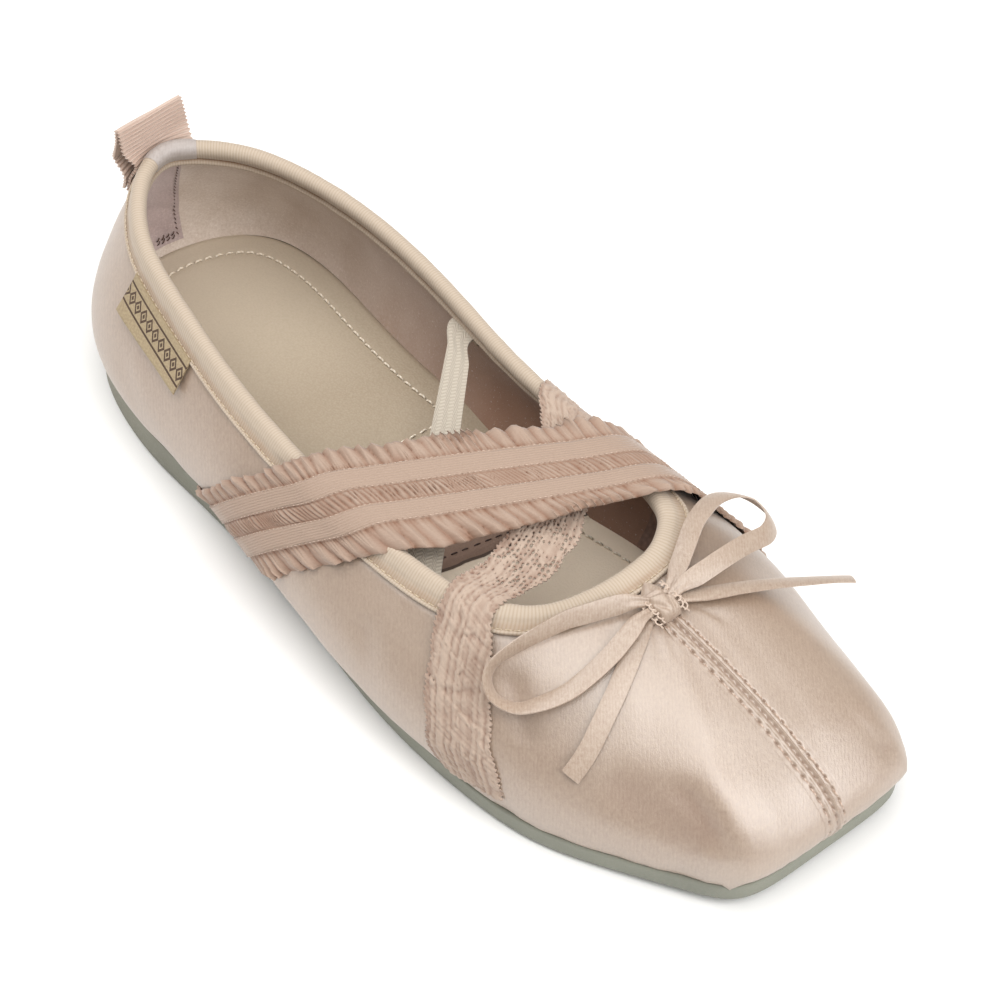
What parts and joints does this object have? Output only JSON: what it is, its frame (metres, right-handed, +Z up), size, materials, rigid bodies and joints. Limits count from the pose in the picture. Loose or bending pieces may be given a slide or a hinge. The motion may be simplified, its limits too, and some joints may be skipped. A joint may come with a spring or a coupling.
{
  "type": "ballet flat",
  "caption": "Square-toed satin ballet flat for the right foot, with crossed elastic straps, a bound collar, a ribbon bow on the throat and a low rubber sole.",
  "frame": {"origin": "on the floor, on the flat tread under the middle of the heel, 45 mm ahead of the back of the sole", "axes": "+Y runs from the heel to the toe, +X to the outer (lateral) side of this right shoe, +Z up"},
  "size_m": [0.0988, 0.2513, 0.0644],
  "materials": {
    "sole_rubber": "matte grey-olive rubber",
    "insole_leather": "khaki leatherette sock with edge stitching",
    "blush_satin": "blush satin with a soft sheen",
    "collar_tape": "ribbed cream binding tape",
    "pink_grosgrain": "pink grosgrain ribbon",
    "woven_label": "khaki woven label, left bare",
    "ruffle_elastic": "gathered dusty pink elastic with ruffled edges",
    "stretch_lace": "dusty pink stretch lace",
    "ivory_elastic": "ivory herringbone elastic",
    "bow_ribbon": "pale champagne satin ribbon"
  },
  "bodies": {
    "root": {"outsole": "sole_rubber", "insole": "insole_leather", "upper": "blush_satin", "collar_binding": "collar_tape", "heel_pull_loop": "pink_grosgrain", "side_label": "woven_label", "strap_ruffle": "ruffle_elastic", "strap_lace": "stretch_lace", "strap_elastic": "ivory_elastic", "bow_knot": "bow_ribbon", "bow_loop_lateral": "bow_ribbon", "bow_loop_medial": "bow_ribbon", "bow_tail_lateral": "bow_ribbon", "bow_tail_medial": "bow_ribbon"}
  },
  "joints": []
}
